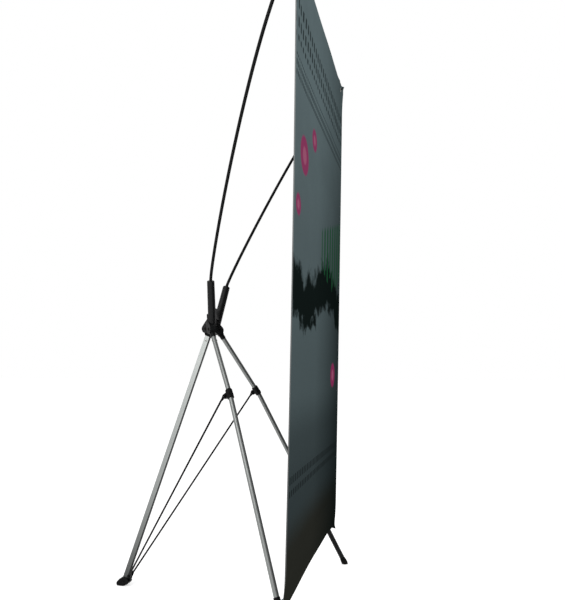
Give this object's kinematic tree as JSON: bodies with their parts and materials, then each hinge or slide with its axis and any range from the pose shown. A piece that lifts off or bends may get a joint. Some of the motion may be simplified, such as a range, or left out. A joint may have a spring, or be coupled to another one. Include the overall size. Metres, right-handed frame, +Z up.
{
  "type": "x banner stand",
  "caption": "Free-standing x banner stand: a moulded hub on three folding legs, two bowed poles and a printed banner stretched between them.",
  "frame": {"origin": "floor point under the middle of the bounding box", "axes": "+Z up, the banner's printed face towards -Y, the rear leg towards +Y, +X along the banner's width"},
  "size_m": [0.859, 0.7828, 1.9414],
  "materials": {
    "black_plastic": "moulded, fine grain",
    "black_rubber": "matt",
    "black_steel": "satin black",
    "fibreglass": "smooth pultruded rod",
    "aluminium": "satin anodised",
    "plated_steel": "nickel plated",
    "banner_print": "printed coated cloth, semi-matt"
  },
  "bodies": {
    "hub": {"hub_core": "black_plastic", "hub_pin_front_left": "black_steel", "hub_pin_front_right": "black_steel", "hub_pin_rear": "black_steel", "pole_left": "fibreglass", "pole_right": "fibreglass", "pole_tip_left": "black_plastic", "pole_tip_right": "black_plastic", "banner": "banner_print", "grommet_bottom_left": "plated_steel", "grommet_bottom_right": "plated_steel", "grommet_top_left": "plated_steel", "grommet_top_right": "plated_steel"},
    "rear_leg": {"knuckle_rear": "black_plastic", "rear_leg": "aluminium", "rivet_rear": "plated_steel", "foot_rivet": "black_steel", "rear_foot": "black_plastic", "brace_foot_pin": "black_steel"},
    "front_leg_left": {"knuckle_front_left": "black_plastic", "front_leg_left": "aluminium", "rivet_front_left": "plated_steel", "leg_sleeve_left": "black_plastic", "foot_tip_left": "black_rubber"},
    "front_leg_right": {"knuckle_front_right": "black_plastic", "front_leg_right": "aluminium", "rivet_front_right": "plated_steel", "leg_sleeve_right": "black_plastic", "foot_tip_right": "black_rubber"},
    "collar_left": {"collar_left": "black_plastic"},
    "collar_right": {"collar_right": "black_plastic"},
    "brace_left": {"brace_left": "black_steel", "brace_rivet_left": "black_steel"},
    "brace_right": {"brace_right": "black_steel", "brace_rivet_right": "black_steel"}
  },
  "joints": [
    {"name": "rear_leg_fold", "type": "hinge", "parent": "hub", "child": "rear_leg", "pos_m": [0, 0.04189, 0.928], "axis": [-1, 0, 0], "range_deg": [0, 20.15]},
    {"name": "front_leg_fold_left", "type": "hinge", "parent": "hub", "child": "front_leg_left", "pos_m": [-0.032, 0.01289, 0.924], "axis": [0.7132, -0.7009, 0], "range_deg": [0, 29.32]},
    {"name": "front_leg_fold_right", "type": "hinge", "parent": "hub", "child": "front_leg_right", "pos_m": [0.032, 0.01289, 0.924], "axis": [0.7132, 0.7009, 0], "range_deg": [0, 29.32]},
    {"name": "collar_slide_left", "type": "slide", "parent": "front_leg_left", "child": "collar_left", "axis": [0.403, 0.4101, 0.8181], "range_m": [0, 0.1274]},
    {"name": "collar_slide_right", "type": "slide", "parent": "front_leg_right", "child": "collar_right", "axis": [-0.403, 0.4101, 0.8181], "range_m": [0, 0.1274]},
    {"name": "brace_turn_left", "type": "hinge", "parent": "rear_leg", "child": "brace_left", "pos_m": [-0.0094, 0.34189, 0.036], "axis": [-0.8626, 0.4883, 0.132], "range_deg": [0, 14.44]},
    {"name": "brace_turn_right", "type": "hinge", "parent": "rear_leg", "child": "brace_right", "pos_m": [0.0094, 0.34189, 0.036], "axis": [-0.8626, -0.4883, -0.132], "range_deg": [0, 14.44]}
  ],
  "couplings": [
    {"joint": "front_leg_fold_left", "follows": "rear_leg_fold", "ratio": 1.4541},
    {"joint": "front_leg_fold_right", "follows": "rear_leg_fold", "ratio": 1.4541},
    {"joint": "collar_slide_left", "follows": "rear_leg_fold", "m_per_rad": 0.36209},
    {"joint": "collar_slide_right", "follows": "rear_leg_fold", "m_per_rad": 0.36209},
    {"joint": "brace_turn_left", "follows": "rear_leg_fold", "ratio": 0.71631},
    {"joint": "brace_turn_right", "follows": "rear_leg_fold", "ratio": 0.71631}
  ]
}
